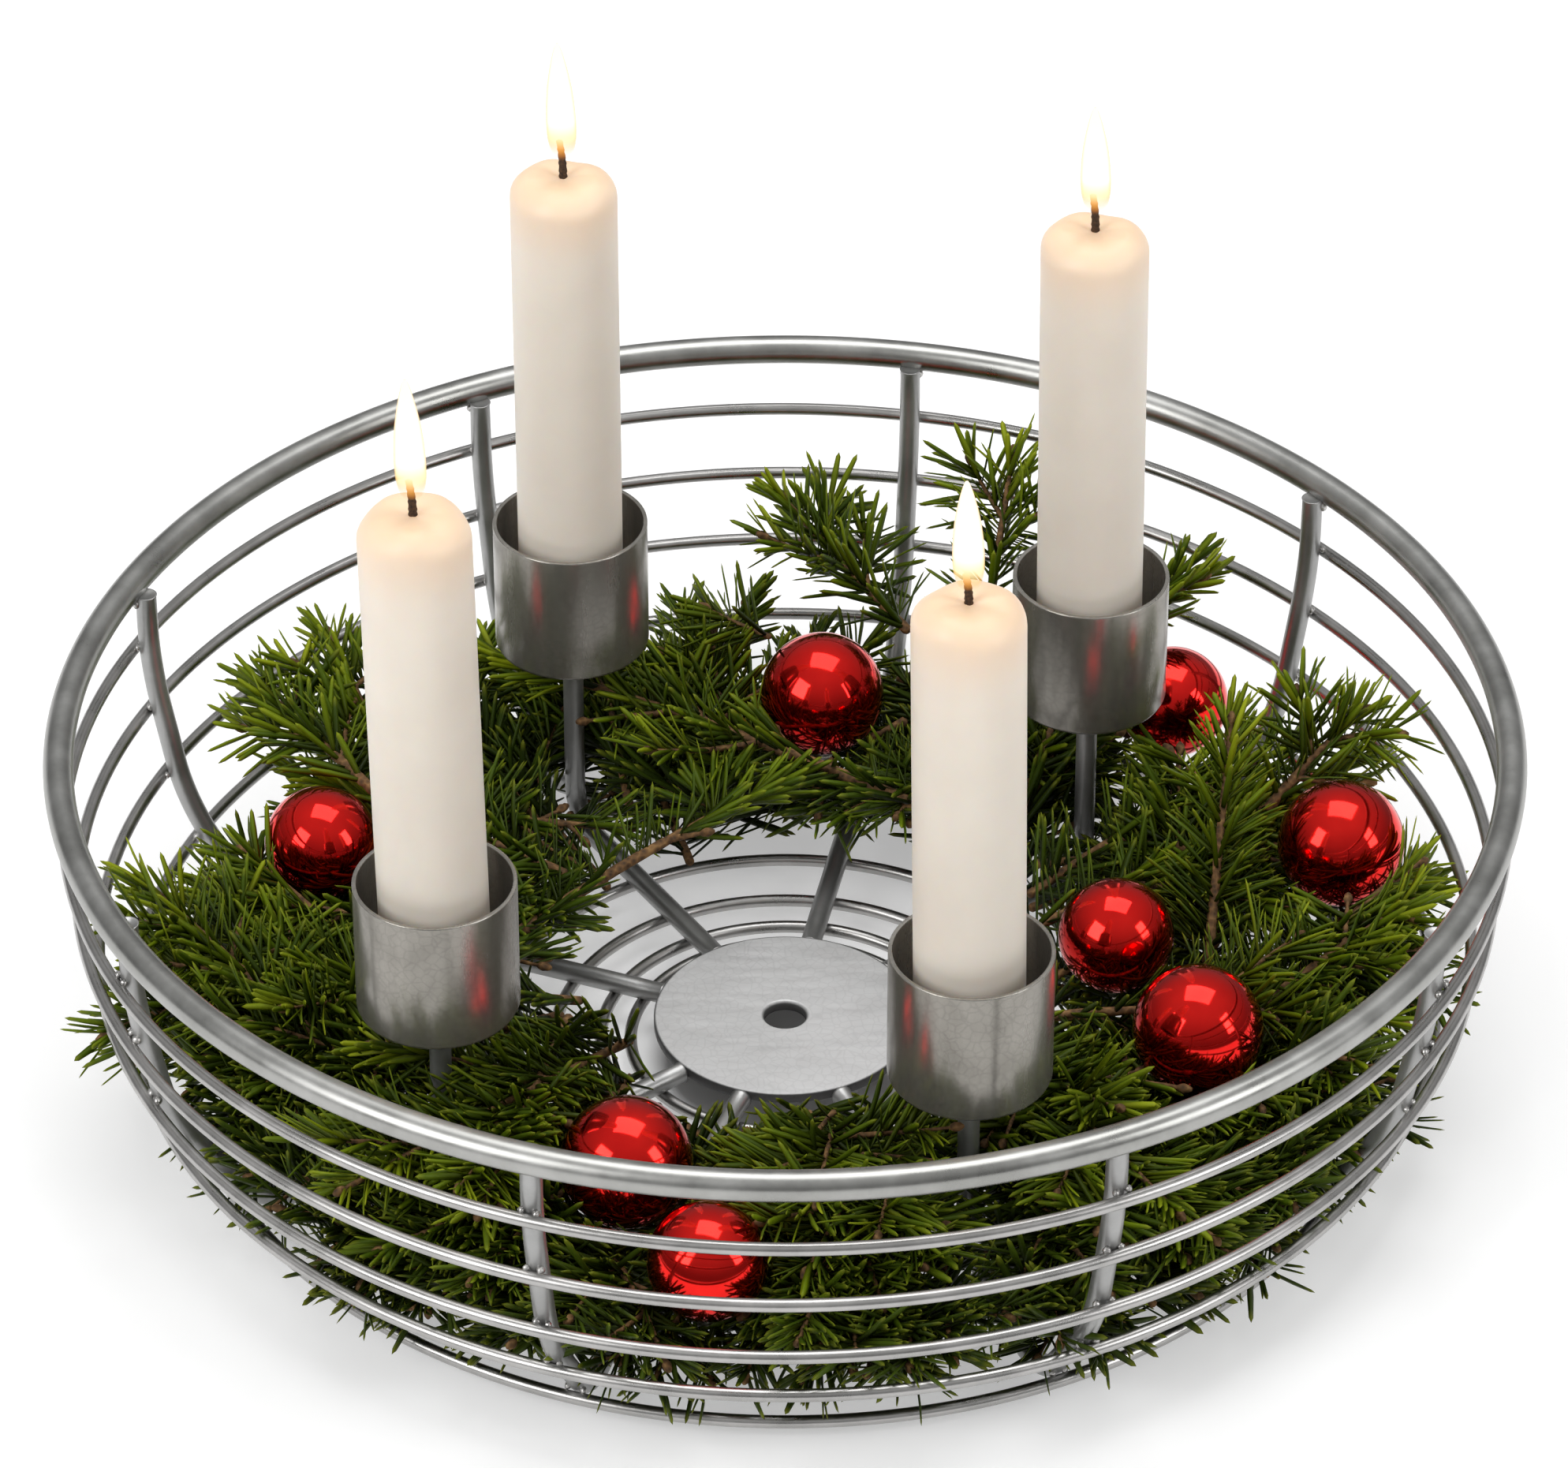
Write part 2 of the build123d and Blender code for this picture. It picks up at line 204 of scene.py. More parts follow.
def steel_finish(name, light, dark, smooth, rough, relief, stretch=(1.0, 1.0, 1.0), crackle=0.0, bare=1.0):
    """Bare steel: stretch draws the grain out along an axis, crackle shows the edges of zinc crystals."""
    finish, tree, shader, where = new_finish(name)
    drawn = put(tree, "Mapping", Vector=where, Scale=stretch).outputs["Vector"]
    wear = put(tree, "Group", node_tree=worn_steel)
    feed(wear, Place=drawn, Light_Steel=(*light, 1.0), Dark_Steel=(*dark, 1.0), Smooth=smooth, Rough=rough)
    crystal = put(tree, "TexVoronoi", feature="DISTANCE_TO_EDGE", Vector=where, Scale=420.0)
    seam = ramp(tree, crystal.outputs["Distance"], [(0.0, (0.72, 0.72, 0.72)), (0.10, (1.0, 1.0, 1.0))])
    bump = put(tree, "Bump", Strength=relief, Distance=0.0003, Height=wear.outputs["Relief"])
    feed(
        shader,
        Base_Color=blend(tree, crackle, wear.outputs["Colour"], seam, "MULTIPLY"),
        Roughness=wear.outputs["Gloss"],
        Normal=bump.outputs["Normal"],
        Metallic=bare,
    )
    return finish


rim_light = (0.44, 0.44, 0.425)
rim_dark = (0.31, 0.31, 0.295)
rim_steel = steel_finish("rim_steel", rim_light, rim_dark, smooth=0.27, rough=0.40, relief=0.015)
rim_shape = ring_mesh(rim_radius, rim_tube, rim_height, turns=256, sides=28)
mesh_piece("rim_ring_tube", rim_shape, rim_steel, "rim_ring")

# Wall hoops
# Five thin rings of drawn wire welded round the outside of the ribs, a little out of true.
# Brighter than the rim: zinc coloured wire with a clear highlight along its upper side.
wire_light = (0.50, 0.49, 0.48)
wire_dark = (0.36, 0.355, 0.345)
wire_steel = steel_finish("wire_steel", wire_light, wire_dark, smooth=0.25, rough=0.36, relief=0.01)
hoop_tube = 0.0015
hoop_wobble = 0.00018


def wire_ring(node, piece, turns, wobble, phase):
    """One ring of drawn wire in the place of its node, as radius and height."""
    low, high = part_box(node)
    radius = (high.x - low.x) / 2 - hoop_tube
    height = (high.z + low.z) / 2
    mesh_piece(piece, ring_mesh(radius, hoop_tube, height, turns, 16, wobble, phase), wire_steel, node)
    return radius, height


hoop_rings = []
for k in range(1, 6):
    hoop_rings.append(wire_ring("wall_hoop_%d" % k, "wall_hoop_wire_%d" % k, 224, hoop_wobble, k * 1.7))

# Bottom rings
# The same wire, rolled smaller and welded under the flat runs of the ribs and stems.
ring_wobble = 0.00008
for k in range(1, 6):
    wire_ring("bottom_ring_%d" % k, "bottom_ring_wire_%d" % k, 144, ring_wobble, k * 2.3)

# Ribs
# Bent rods that carry the hoops. Each starts with a sawn end under the rim, follows the wall,
# turns round the foot bend that the bowl stands on and runs in to the disc or to a stem.
rod_radius = 0.0025
weld_gap = 0.00005
rib_wall_radius = rim_radius - rod_radius - hoop_tube - weld_gap
disc_radius = 0.031
candle_circle = 0.097
stem_bend = 0.009
stem_clear = 0.0003
stem_reach = stem_bend + rod_radius + stem_clear
short_end = candle_circle - stem_bend + sqrt(stem_reach**2 - (stem_bend - rod_radius) ** 2)
spoke_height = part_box("centre_disc")[1].z - rod_radius
wall_break = 0.774 * rim_height
toe_height = 0.35 * rim_height
foot_lean = radians(36)
foot_rise = radians(25)
foot_bend = 0.014
wall_lean = radians(11.3)
foot_turn = (pi / 2 - foot_lean + foot_rise) / 2
foot_drop = rod_radius + foot_bend * (1 - sin(foot_lean) - cos(foot_lean) * tan(foot_turn))
spoke_run = 0.0092
spoke_corner = short_end + spoke_run
rib_top = rim_height - 0.0015
rib_corners = [
    (rib_wall_radius, rib_top),
    (rib_wall_radius, wall_break),
    (rib_wall_radius - tan(wall_lean) * (wall_break - toe_height), toe_height),
    (spoke_corner + (spoke_height - foot_drop) / tan(foot_rise), foot_drop),
    (spoke_corner, spoke_height),
]
rib_bends = (0.120, 0.060, foot_bend, 0.020)
long_ribs = {"rib_back": 79.0, "rib_left_back": 158.5, "rib_front_left": 250.5, "rib_right": 332.5}
short_ribs = {"rib_right_back": 38.5, "rib_back_left": 117.5, "rib_left": 206.0, "rib_front_right": 296.0}


def bent_line(corners, bends, step=0.0022, straight_step=0.006):
    """Centre line of a bent rod as (radius, height) points: straight runs with round bends."""
    line = [np.array(corners[0])]
    for i, bend in enumerate(bends, start=1):
        before, corner, after = (np.array(corners[k]) for k in (i - 1, i, i + 1))
        come = (corner - before) / norm(corner - before)
        leave = (after - corner) / norm(after - corner)
        turn = acos(max(-1.0, min(1.0, float(come @ leave))))
        reach = bend * tan(turn / 2)
        side = np.array([-come[1], come[0]])
        if side @ leave < 0:
            side = -side
        start = corner - come * reach
        middle = start + side * bend
        count = max(4, int(bend * turn / step))
        for k in range(count + 1):
            t = turn * k / count
            line.append(middle - side * bend * cos(t) + come * bend * sin(t))
    line.append(np.array(corners[-1]))
    spread = [line[0]]
    for a, b in zip(line, line[1:]):
        pieces = max(1, int(norm(b - a) / straight_step))
        spread.extend(a + (b - a) * (k / pieces) for k in range(1, pieces + 1))
    return np.array(spread)


up_way = np.array([0.0, 0.0, 1.0])


def flat_ways(azimuth):
    """Level directions outward and across at an azimuth."""
    a = radians(azimuth)
    return np.array([cos(a), sin(a), 0.0]), np.array([-sin(a), cos(a), 0.0])


def unit(rows):
    """Directions of length one."""
    return rows / norm(rows, axis=1)[:, None]


def rod_mesh(line, azimuth, radius, sides=18):
    """Sawn rod along a radial line: the ends are dished a little inside a raised burr."""
    out, across = flat_ways(azimuth)
    centres = line[:, :1] * out + line[:, 1:] * up_way
    heads = unit(np.gradient(centres, axis=0))
    rows = [(centre, head, radius) for centre, head in zip(centres, heads)]
    first, last = rows[0], rows[-1]
    burr = [(0.00025, 0.97), (-0.00010, 1.05), (-0.00012, 0.92), (0.00012, 0.80)]
    front = [(first[0] + first[1] * s, first[1], radius * k) for s, k in reversed(burr)]
    back = [(last[0] - last[1] * s, last[1], radius * k) for s, k in burr]
    rows = front + rows[1:-1] + back
    points = []
    for centre, head, size in rows:
        third = np.cross(head, across)
        for j in range(sides):
            b = 2 * pi * j / sides
            points.append(centre + across * size * cos(b) + third * size * sin(b))
    faces = []
    for i in range(len(rows) - 1):
        for j in range(sides):
            j2 = (j + 1) % sides
            faces.append((i * sides + j, i * sides + j2, (i + 1) * sides + j2, (i + 1) * sides + j))
    for row, turn in ((0, -1), (len(rows) - 1, 1)):
        points.append(rows[row][0])
        hub = len(points) - 1
        for j in range(sides):
            pair = (row * sides + j, row * sides + (j + 1) % sides)
            faces.append((*pair, hub) if turn > 0 else (pair[1], pair[0], hub))
    return points, faces


rod_light = (0.45, 0.45, 0.445)
rod_dark = (0.33, 0.33, 0.325)
rod_steel = steel_finish("rod_steel", rod_light, rod_dark, smooth=0.28, rough=0.42, relief=0.03, bare=0.74)
for ribs, rib_end in ((long_ribs, disc_radius + weld_gap), (short_ribs, short_end)):
    for name, azimuth in ribs.items():
        line = bent_line(rib_corners + [(rib_end, spoke_height)], rib_bends)
        mesh_piece(name + "_rod", rod_mesh(line, azimuth, rod_radius), rod_steel, name)

# Weld beads
# Small frozen drops where each hoop crosses a rib and where each rib meets the rim.
# Brighter and rounder than the rods, with darker patches of scale.
bead_random = np.random.default_rng(12)
bead_slip = (0.0011, 0.0020)
bead_rise = (0.0004, 0.0011)
bead_size = (0.0008, 0.00125)
collar_size = (0.0010, 0.0014)
collar_out = 0.0024
collar_drop = 0.0036
collar_step = 0.0016
collar_curve = 0.0006
bead_points = []
bead_faces = []


def add_bead(centre, size):
    """One rounded, uneven drop of weld metal."""
    first = len(bead_points)
    rings, sides = 6, 10
    uneven = 0.12
    tilt = bead_random.normal(0, uneven, 3)
    shove = tilt * 0.2
    bead_points.append(tuple(centre + (shove + up_way) * size))
    for i in range(1, rings):
        p = pi * i / rings
        for j in range(sides):
            b = 2 * pi * j / sides
            v = np.array([sin(p) * cos(b), sin(p) * sin(b), cos(p)])
            v = v * (1 + uneven * sin(3 * b + tilt[0] * 20) * sin(p)) + shove
            bead_points.append(tuple(centre + v * size))
    bead_points.append(tuple(centre + (shove - up_way) * size))
    last = len(bead_points) - 1
    for j in range(sides):
        j2 = (j + 1) % sides
        bead_faces.append((first, first + 1 + j, first + 1 + j2))
        for i in range(rings - 2):
            row = first + 1 + i * sides
            bead_faces.append((row + j, row + sides + j, row + sides + j2, row + j2))
        row = first + 1 + (rings - 2) * sides
        bead_faces.append((row + j, last, row + j2))


for azimuth in list(long_ribs.values()) + list(short_ribs.values()):
    out, across = flat_ways(azimuth)
    rib_line = bent_line(rib_corners + [(disc_radius, spoke_height)], rib_bends)
    for radius, height in hoop_rings:
        nearest = rib_line[np.argmin(np.hypot(rib_line[:, 0] - radius, rib_line[:, 1] - height))]
        contact = nearest + (np.array([radius, height]) - nearest) * (rod_radius / (rod_radius + hoop_tube))
        for side in (-1, 1):
            slip = bead_random.uniform(*bead_slip) * side
            spot = out * contact[0] + across * slip
            spot[2] += contact[1] + bead_random.uniform(*bead_rise)
            add_bead(spot, bead_random.uniform(*bead_size))
    collar = out * (rib_wall_radius + collar_out) + up_way * (rim_height - collar_drop)
    for side in (-1, 0, 1):
        spot = collar + across * collar_step * side - out * collar_curve * abs(side)
        add_bead(spot, bead_random.uniform(*collar_size))
weld_light = (0.72, 0.71, 0.69)
weld_dark = (0.34, 0.33, 0.32)
weld_steel = steel_finish("weld_steel", weld_light, weld_dark, smooth=0.22, rough=0.50, relief=0.30)
mesh_piece("weld_beads", (bead_points, bead_faces), weld_steel)

# Centre disc
# A stamped round plate in the middle of the bottom, with a countersunk hole and broken edges.
# Pale rolled sheet with a drawn grain, darker at its cut edges. The ribs and stems are welded to it.
disc_low, disc_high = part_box("centre_disc")


def lathe(profile, centre, sides=64):
    """Turned form: (radius, height) points that go up the outside, from axis to axis or all round."""
    points = []
    rows = []
    ring = profile[0] == profile[-1]
    for radius, height in profile[: len(profile) - ring]:
        if radius < 1e-7:
            rows.append([len(points)])
            points.append((centre[0], centre[1], height))
            continue
        rows.append(list(range(len(points), len(points) + sides)))
        for j in range(sides):
            b = 2 * pi * j / sides
            points.append((centre[0] + radius * cos(b), centre[1] + radius * sin(b), height))
    if ring:
        rows.append(rows[0])
    faces = []
    for low_row, high_row in zip(rows, rows[1:]):
        for j in range(sides):
            j2 = (j + 1) % sides
            if len(low_row) == 1:
                faces.append((low_row[0], high_row[j2], high_row[j]))
            elif len(high_row) == 1:
                faces.append((low_row[j], low_row[j2], high_row[0]))
            else:
                faces.append((low_row[j], low_row[j2], high_row[j2], high_row[j]))
    return points, faces


def mark(tree, name):
    """A value that the mesh carries at its points."""
    return put(tree, "Attribute", attribute_name=name).outputs["Fac"]


hole = 0.005
edge = 0.0003
sink = 0.0006
disc_profile = [
    (hole, disc_low.z),
    (hole + 0.0004, disc_low.z),
    (disc_radius - edge, disc_low.z),
    (disc_radius - 0.3 * edge, disc_low.z + 0.3 * edge),
    (disc_radius, disc_low.z + edge),
    (disc_radius, disc_high.z - edge),
    (disc_radius - 0.3 * edge, disc_high.z - 0.3 * edge),
    (disc_radius - 2 * edge, disc_high.z),
    (0.016, disc_high.z),
    (hole + 0.0009, disc_high.z),
    (hole + sink, disc_high.z),
    (hole + 0.00005, disc_high.z - 0.00055),
    (hole, disc_high.z - sink),
    (hole, disc_low.z),
]
plate_light = (0.66, 0.66, 0.66)
plate_dark = (0.60, 0.60, 0.60)
plate_grain = (1.0, 6.0, 1.0)
plate_cut = (0.16, 0.16, 0.16, 1.0)
plate_steel = steel_finish(
    "plate_steel", plate_light, plate_dark, 0.36, 0.52, 0.12, plate_grain, crackle=0.3, bare=0.30
)
tree = plate_steel.node_tree
shader = next(node for node in tree.nodes if node.type == "BSDF_PRINCIPLED")
plate_colour = shader.inputs["Base Color"].links[0].from_socket
feed(shader, Base_Color=blend(tree, mark(tree, "cut"), plate_colour, plate_cut, "MULTIPLY"))
disc_shape = lathe(disc_profile, (0.0, 0.0), 96)
disc_cut = []
for x, y, z in disc_shape[0]:
    reach = hypot(x, y)
    disc_cut.append(float(reach > disc_radius - edge or reach < hole + edge))
shades = {"cut": disc_cut}
mesh_piece("centre_disc_plate", disc_shape, plate_steel, "centre_disc", shades=shades)

# Candle stems
# The same rod as the ribs: from the disc edge outward, bent up, and welded under a cup.
# Each candle: azimuth, distance from the axis, wax length, free wick, flame height, lean to the right.
candle_places = {
    "back_right": (40.0, 0.0944, 0.1278, 0.0090, 0.0320, -0.0013),
    "back_left": (121.6, 0.0980, 0.1285, 0.0092, 0.0350, 0.0),
    "front_left": (218.4, 0.0996, 0.1305, 0.0083, 0.0335, -0.0020),
    "front_right": (295.1, 0.0968, 0.1250, 0.0068, 0.0300, -0.0020),
}
cup_low, cup_high = (corner.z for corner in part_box("cup_back_right"))
candle_spots = {}
for place, (azimuth, reach, *_) in candle_places.items():
    candle_spots[place] = tuple(reach * flat_ways(azimuth)[0][:2])
    stem_corners = [(disc_radius + weld_gap, spoke_height), (reach, spoke_height), (reach, cup_low)]
    rod = rod_mesh(bent_line(stem_corners, (stem_bend,)), azimuth, rod_radius)
    mesh_piece("stem_rod_" + place, rod, rod_steel, "stem_" + place)

# Candle cups
# Drawn sheet cups with a thin turned lip, brushed upright so that they show long pale streaks.
# Each is welded on the upper end of its stem.
cup_radius = 0.0185
cup_wall = 0.001
cup_floor = 0.0012
lip = 0.00016
cup_profile = [
    (0.0, cup_low),
    (cup_radius - 0.0012, cup_low),
    (cup_radius - 0.00035, cup_low + 0.00035),
    (cup_radius, cup_low + 0.0012),
    (cup_radius, cup_low + 0.0130),
    (cup_radius, cup_high - 2 * lip),
    (cup_radius - 0.3 * lip, cup_high - 0.3 * lip),
    (cup_radius - lip, cup_high),
    (cup_radius - cup_wall + lip, cup_high),
    (cup_radius - cup_wall + 0.3 * lip, cup_high - 0.3 * lip),
    (cup_radius - cup_wall, cup_high - 2 * lip),
    (cup_radius - cup_wall, cup_low + cup_floor + 0.0006),
    (cup_radius - cup_wall - 0.0006, cup_low + cup_floor),
    (0.0, cup_low + cup_floor),
]
cup_light = (0.40, 0.38, 0.345)
cup_dark = (0.27, 0.255, 0.228)
cup_brush = (1.0, 1.0, 0.12)
cup_steel = steel_finish(
    "cup_steel", cup_light, cup_dark, 0.18, 0.30, 0.03, cup_brush, crackle=0.50, bare=0.74
)
for place, centre in candle_spots.items():
    cup = lathe(cup_profile, centre, 80)
    mesh_piece("cup_shell_" + place, cup, cup_steel, "cup_" + place)

# Candle spikes
# A turned point on each cup floor. The candle is pressed down on it.
spikes = ([], [])


def add_mesh(heap, shape):
    """Join one mesh to the meshes of like pieces."""
    shift = len(heap[0])
    heap[0].extend(shape[0])
    heap[1].extend(tuple(k + shift for k in face) for face in shape[1])


def raised(profile, foot):
    """The same profile, standing at a height."""
    return [(radius, foot + rise) for radius, rise in profile]


spike_profile = [(0.0, 0.0), (0.0018, 0.0), (0.0014, 0.0056), (0.0010, 0.0105)]
spike_profile += [(0.0005, 0.0152), (0.00025, 0.0159), (0.0, 0.0160)]
for centre in candle_spots.values():
    add_mesh(spikes, lathe(raised(spike_profile, cup_low + cup_floor), centre, 20))
mesh_piece("candle_spike_points", spikes, rod_steel, "candle_spikes")

# Candles
# Ivory wax sticks with softened shoulders and a shallow pool round the wick, pressed on the spikes.
# The wax is faintly cloudy and slightly uneven; just under the flame it has a painted glow, a warm tint and
# a faint emission that stand in for the flame's light in the wax.
candle_radius = 0.0125
shoulder = 0.0058
shoulder_width = 0.0066
foot_edge = 0.0004
bore_depth = 0.0165
bore_radius = 0.0024
glow_depth = 0.011
wax, tree, shader, where = new_finish("ivory_wax")
cloud = noise(tree, where, scale=55.0, detail=4.0)
# Painted glow: near the top the wax colour is tinted warm and the wax emits, in place of the flame's light
# shining into it
painted_glow = mark(tree, "glow")
wax_pale = ramp(tree, cloud, [(0.3, (0.84, 0.765, 0.67)), (0.7, (0.88, 0.81, 0.715))])
painted_glow_tint = ramp(tree, painted_glow, [(0.2, (1.0, 1.0, 1.0)), (1.0, (0.90, 0.78, 0.65))])
wax_lit = [(0.0, (0.0, 0.0, 0.0)), (0.35, (0.16, 0.07, 0.02))]
wax_lit += [(0.8, (0.34, 0.15, 0.04)), (1.0, (0.42, 0.20, 0.06))]
wax_bump = put(tree, "Bump", Strength=0.12, Distance=0.0006, Height=cloud)
feed(
    shader,
    Base_Color=blend(tree, 1.0, wax_pale, painted_glow_tint, "MULTIPLY"),
    Roughness=span(tree, cloud, (0.3, 0.7), (0.38, 0.56)),
    Emission_Color=ramp(tree, painted_glow, wax_lit),
    Emission_Strength=0.40,
    Subsurface_Weight=0.35,
    Subsurface_Radius=(1.0, 0.65, 0.35),
    Subsurface_Scale=0.006,
    Normal=wax_bump.outputs["Normal"],
)
candle_foot = cup_low + cup_floor + weld_gap
for place, (azimuth, _, wax_length, _, _, lean) in candle_places.items():
    centre = candle_spots[place]
    top = candle_foot + wax_length
    profile = [(0.0, candle_foot + bore_depth), (bore_radius, candle_foot)]
    profile += [(candle_radius - foot_edge, candle_foot), (candle_radius, candle_foot + foot_edge)]
    for k in range(1, 13):
        profile.append((candle_radius, candle_foot + (wax_length - shoulder) * k / 12))
    for k in range(1, 9):
        b = pi / 2 * k / 8
        inset = shoulder_width * (1 - cos(b))
        profile.append((candle_radius - inset, top - shoulder * (1 - sin(b))))
    for radius, dip in ((0.0040, 0.0001), (0.0024, 0.0004), (0.0012, 0.0005), (0.0, 0.0004)):
        profile.append((radius, top - dip))
    points, faces = lathe(profile, centre, 64)
    shaped = []
    glow = []
    for x, y, z in points:
        around = atan2(y - centre[1], x - centre[0])
        sag = 0.0007 * sin(2 * around + azimuth) + 0.0004 * sin(5 * around + 2 * azimuth) - 0.0004
        near_top = exp(-max(0.0, top - z) / glow_depth)
        sag *= near_top * hypot(x - centre[0], y - centre[1]) / candle_radius
        shaped.append((x + lean * (z - candle_foot) / wax_length, y, min(top, z + sag)))
        # glow: the share of painted flame light the wax gets at this point
        glow.append(near_top)
    body = "candle_" + place
    mesh_piece("candle_wax_" + place, (shaped, faces), wax, body, body, {"glow": glow})

# Wicks
# Braided cotton set in the wax, charred dark brown, bent a little and glowing at the tip.
char, tree, shader, where = new_finish("charred_wick")
grain = noise(tree, where, scale=1800.0, detail=2.0)
feed(
    shader,
    Base_Color=ramp(tree, grain, [(0.3, (0.02, 0.012, 0.008)), (0.7, (0.09, 0.045, 0.02))]),
    Emission_Color=ramp(tree, mark(tree, "glow"), [(0.45, (0.0, 0.0, 0.0)), (0.9, (1.0, 0.32, 0.05))]),
    Emission_Strength=0.9,
    Roughness=0.9,
)
wick_radius = 0.0010
wick_sunk = 0.006
wick_steps = 14
for place, (_, _, wax_length, free_wick, _, lean) in candle_places.items():
    centre = candle_spots[place]
    top = candle_foot + wax_length
    profile = [(0.0, top - wick_sunk), (wick_radius, top - wick_sunk)]
    for k in range(wick_steps + 1):
        t = k / wick_steps
        braid = 1.0 + 0.10 * sin(k * 2.4)
        profile.append((wick_radius * braid * (1 - 0.25 * t), top - 0.001 + (free_wick + 0.0005) * t))
    profile.append((0.0, top + free_wick))
    points, faces = lathe(profile, centre, 14)
    shaped = []
    glow = []
    for x, y, z in points:
        t = max(0.0, (z - top) / free_wick)
        shaped.append((x + lean - 0.0008 * t * t, y + 0.0005 * t * t, z))
        glow.append(t)
    body = "candle_" + place
    mesh_piece("wick_braid_" + place, (shaped, faces), char, "wick_" + place, body, {"glow": glow})

# Flames
# A still candle flame that stands over the wick: burning gas, pale at the heart, yellow below,
# orange at its edges and thin there.
flame, tree, shader, _ = new_finish("candle_flame")
rise = mark(tree, "rise")
flame_tones = [
    (0.0, (0.80, 0.26, 0.02)),
    (0.08, (1.0, 0.50, 0.10)),
    (0.18, (1.0, 0.84, 0.44)),
    (0.32, (1.0, 0.97, 0.86)),
    (1.0, (1.0, 0.95, 0.78)),
]
facing = put(tree, "LayerWeight", Blend=0.35).outputs["Facing"]
flame_edge = (1.0, 0.55, 0.14, 1.0)
fringe = blend(tree, span(tree, facing, (0.35, 0.95)), ramp(tree, rise, flame_tones), flame_edge)
thin_edge = span(tree, facing, (0.45, 0.97), (1.0, 0.10))
thin_foot = span(tree, rise, (0.0, 0.24))
feed(
    shader,
    Base_Color=(0.0, 0.0, 0.0, 1.0),
    Emission_Color=fringe,
    Emission_Strength=1.25,
    Roughness=1.0,
    Specular_IOR_Level=0.0,
    Alpha=maths(tree, "MULTIPLY", thin_edge, thin_foot),
)
flame_foot = 0.60
flame_sway = 0.0005
flame_drift = 0.0008
stations = [(0.0, 0.0024), (0.06, 0.0030), (0.15, 0.0034), (0.30, 0.0035), (0.45, 0.0033), (0.6, 0.0029)]
stations += [(0.75, 0.0022), (0.88, 0.0014), (0.96, 0.0008), (1.0, 0.0003)]
steps = np.linspace(0.0, 1.0, 34)
widths = np.interp(steps, [k[0] for k in stations], [k[1] for k in stations])
widths[1:-1] = (widths[:-2] + 2 * widths[1:-1] + widths[2:]) / 4
for place, (azimuth, _, wax_length, free_wick, flame_height, lean) in candle_places.items():
    centre = candle_spots[place]
    bottom = candle_foot + wax_length + flame_foot * free_wick
    length = flame_height - flame_foot * free_wick
    profile = [(0.0, bottom - 0.0004), (0.0018, bottom - 0.0003)]
    profile += [(r, bottom + length * t) for r, t in zip(widths, steps)]
    profile.append((0.0, bottom + length))
    points, faces = lathe(profile, centre, 40)
    shaped = []
    rises = []
    for x, y, z in points:
        t = (z - bottom) / length
        shaped.append((x + lean - flame_drift * t, y + flame_sway * sin(2.2 * t + azimuth), z))
        rises.append(t)
    node = "flame_" + place
    mesh_piece(node + "_glow", (shaped, faces), flame, node, "candle_" + place, {"rise": rises})

# Baubles
# Thin blown balls, silvered inside and lacquered deep red, so they mirror the room in red
# under a clear gloss. Each lies loose, its short neck turned down into the needles.
# Each bauble: share of the rim radius, azimuth, height and radius.
bauble_places = {
    "bauble_back": (0.535, 84.2, 0.043, 0.015),
    "bauble_right_back": (0.795, 44.3, 0.038, 0.0135),
    "bauble_right": (0.795, 8.5, 0.048, 0.015),
    "bauble_right_inner": (0.468, 350.5, 0.045, 0.0135),
    "bauble_front_right": (0.640, 332.0, 0.046, 0.015),
    "bauble_left": (0.675, 167.0, 0.044, 0.0135),
    "bauble_front_left": (0.595, 249.0, 0.041, 0.015),
    "bauble_front": (0.755, 262.2, 0.0385, 0.0135),
}
lacquer, tree, shader, where = new_finish("red_lacquer")
cloud = noise(tree, where, scale=120.0, detail=3.0)
feed(
    shader,
    Base_Color=ramp(tree, cloud, [(0.3, (0.74, 0.008, 0.006)), (0.7, (0.86, 0.014, 0.009))]),
    Roughness=span(tree, cloud, (0.3, 0.7), (0.07, 0.12)),
    Metallic=1.0,
    Coat_Weight=0.2,
    Coat_Roughness=0.03,
)
neck_radius = 0.0025
neck_length = 0.0009
bauble_balls = []
for name, (share, azimuth, height, size) in bauble_places.items():
    centre = tuple(share * rim_radius * flat_ways(azimuth)[0][:2])
    bauble_balls.append((*centre, height, size))
    neck = asin(neck_radius / size)
    low = height - size
    profile = [(0.0, low - neck_length), (neck_radius, low - neck_length), (neck_radius, low + 0.0001)]
    for k in range(41):
        b = neck + (pi - neck) * k / 40
        profile.append((size * sin(b) if k < 40 else 0.0, height - size * cos(b)))
    mesh_piece(name + "_ball", lathe(profile, centre, 72), lacquer, name)

# Bauble caps
# Pressed metal crowns over the necks, with a scalloped edge.
cap_drop = 0.0026
cap_height = 0.0033
cap_profile = [(0.0, 0.0), (0.0030, 0.0), (0.0038, 0.0004), (0.0040, 0.0012)]
cap_profile += [(0.0040, cap_height), (0.0038, cap_height), (0.0037, 0.0013), (0.0, 0.0005)]
scallops = 12
scallop_share = 0.03
caps = ([], [])
for x, y, height, size in bauble_balls:
    foot = height - size - cap_drop
    points, faces = lathe(raised(cap_profile, foot), (x, y), 48)
    for k, (px, py, pz) in enumerate(points):
        wave = cos(scallops * atan2(py - y, px - x))
        flare = 1.0 + scallop_share * wave * (pz - foot) / cap_height
        points[k] = (x + (px - x) * flare, y + (py - y) * flare, pz)
    add_mesh(caps, (points, faces))
cap_light = (0.80, 0.76, 0.68)
cap_dark = (0.62, 0.58, 0.50)
cap_metal = steel_finish("cap_metal", cap_light, cap_dark, smooth=0.22, rough=0.4, relief=0.15)
mesh_piece("bauble_cap_crowns", caps, cap_metal, "bauble_caps")

